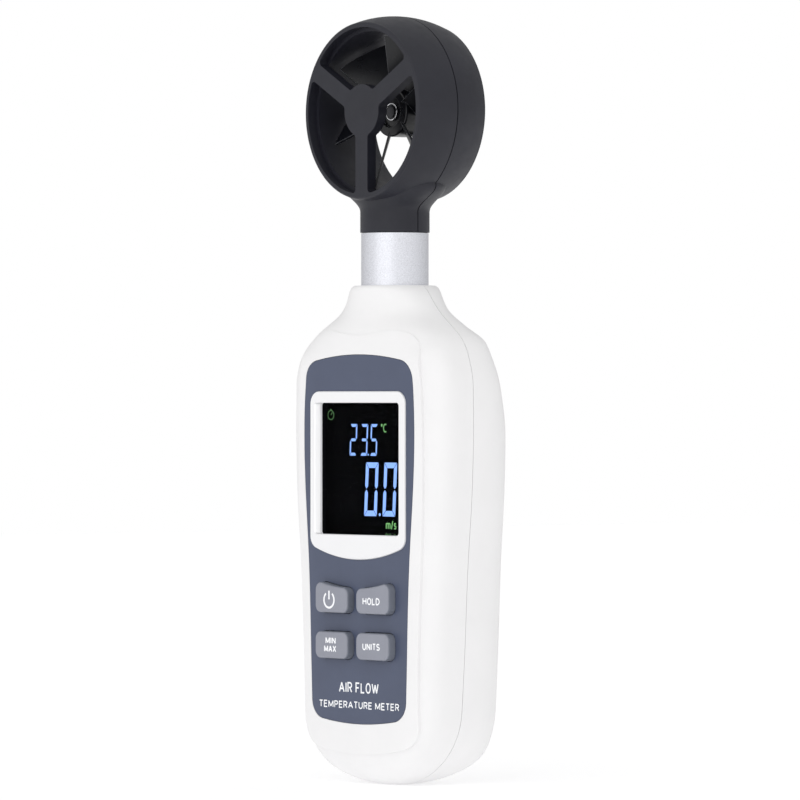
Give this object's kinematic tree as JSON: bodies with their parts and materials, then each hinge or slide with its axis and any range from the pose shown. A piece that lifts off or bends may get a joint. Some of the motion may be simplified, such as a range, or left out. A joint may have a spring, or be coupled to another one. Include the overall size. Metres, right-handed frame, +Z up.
{
  "type": "vane anemometer",
  "caption": "Hand-held vane anemometer: a guarded impeller in a round head on a swivelling metal neck, over a slim white handle with a lit display and soft keys.",
  "frame": {"origin": "on the handle's lowest point's level, under the middle of the whole object's box", "axes": "+Z up along the handle to the head, the display and the keys face -Y, +X to the right of someone who reads the display"},
  "size_m": [0.0522, 0.029, 0.168],
  "materials": {
    "white_plastic": "soft fine matte",
    "panel_plastic": "satin painted",
    "bezel_plastic": "soft satin",
    "window_plastic": "clear polished",
    "lcd_glass": "black display glass",
    "inner_plastic": "moulded",
    "light_guide": "milky",
    "carbon_rubber": "conductive",
    "circuit_board": "solder mask",
    "chip_plastic": "moulded",
    "mat_rubber": "silicone",
    "gold_contact": "gold plated",
    "cell_jacket": "plain printed jacket",
    "nickel_steel": "nickel plated",
    "zinc_steel": "zinc plated",
    "insert_brass": "turned",
    "plug_plastic": "moulded",
    "cable_jacket": "smooth",
    "neck_metal": "fine blasted satin",
    "head_plastic": "fine matte",
    "polished_steel": "polished",
    "lead_strip": "film",
    "impeller_plastic": "smooth",
    "bush_brass": "polished",
    "magnet_ferrite": "sintered",
    "key_silicone": "soft silicone"
  },
  "bodies": {
    "handle": {"front_shell": "white_plastic", "rear_shell": "white_plastic", "face_panel": "panel_plastic", "display_bezel": "bezel_plastic", "display_window": "window_plastic", "lcd_glass": "lcd_glass", "lcd_holder": "inner_plastic", "backlight": "light_guide", "zebra_strip": "carbon_rubber", "main_board": "circuit_board", "board_chips": "chip_plastic", "keypad_mat": "mat_rubber", "contact_pads": "gold_contact", "aaa_cell_left": "cell_jacket", "aaa_cell_middle": "cell_jacket", "aaa_cell_right": "cell_jacket", "battery_springs": "nickel_steel", "battery_contacts": "nickel_steel", "case_screws": "zinc_steel", "board_screws": "zinc_steel", "tripod_insert": "insert_brass", "cable_plug": "plug_plastic", "sensor_cable": "cable_jacket"},
    "battery_cover": {"battery_door": "white_plastic"},
    "head": {"neck_sleeve": "neck_metal", "head_front_shell": "head_plastic", "head_rear_shell": "head_plastic", "spindle": "polished_steel", "spindle_clip": "polished_steel", "hall_sensor": "chip_plastic", "sensor_leads": "lead_strip", "sensor_board": "circuit_board", "temperature_sensor": "chip_plastic"},
    "rotor": {"impeller": "impeller_plastic", "impeller_bush": "bush_brass", "rotor_magnet": "magnet_ferrite"},
    "power_button": {"power_key": "key_silicone", "power_key_pill": "carbon_rubber"},
    "hold_button": {"hold_key": "key_silicone", "hold_key_pill": "carbon_rubber"},
    "min_max_button": {"min_max_key": "key_silicone", "min_max_key_pill": "carbon_rubber"},
    "units_button": {"units_key": "key_silicone", "units_key_pill": "carbon_rubber"}
  },
  "joints": [
    {"name": "head_swivel", "type": "hinge", "parent": "handle", "child": "head", "pos_m": [0, -0.002, 0.105], "axis": [0, 0, 1], "range_deg": [-90, 90]},
    {"name": "impeller_spin", "type": "hinge", "parent": "head", "child": "rotor", "pos_m": [0, -0.002, 0.1471], "axis": [0, 1, 0], "continuous": true},
    {"name": "power_press", "type": "slide", "parent": "handle", "child": "power_button", "axis": [0, 1, 0], "range_m": [0, 0.0009], "stiffness_N_per_m": 1300, "springref_m": -0.0002},
    {"name": "hold_press", "type": "slide", "parent": "handle", "child": "hold_button", "axis": [0, 1, 0], "range_m": [0, 0.0009], "stiffness_N_per_m": 1300, "springref_m": -0.0002},
    {"name": "min_max_press", "type": "slide", "parent": "handle", "child": "min_max_button", "axis": [0, 1, 0], "range_m": [0, 0.0009], "stiffness_N_per_m": 1300, "springref_m": -0.0002},
    {"name": "units_press", "type": "slide", "parent": "handle", "child": "units_button", "axis": [0, 1, 0], "range_m": [0, 0.0009], "stiffness_N_per_m": 1300, "springref_m": -0.0002},
    {"name": "battery_cover_lift", "type": "slide", "parent": "handle", "child": "battery_cover", "axis": [0, 1, 0], "range_m": [0, 0.03]}
  ]
}
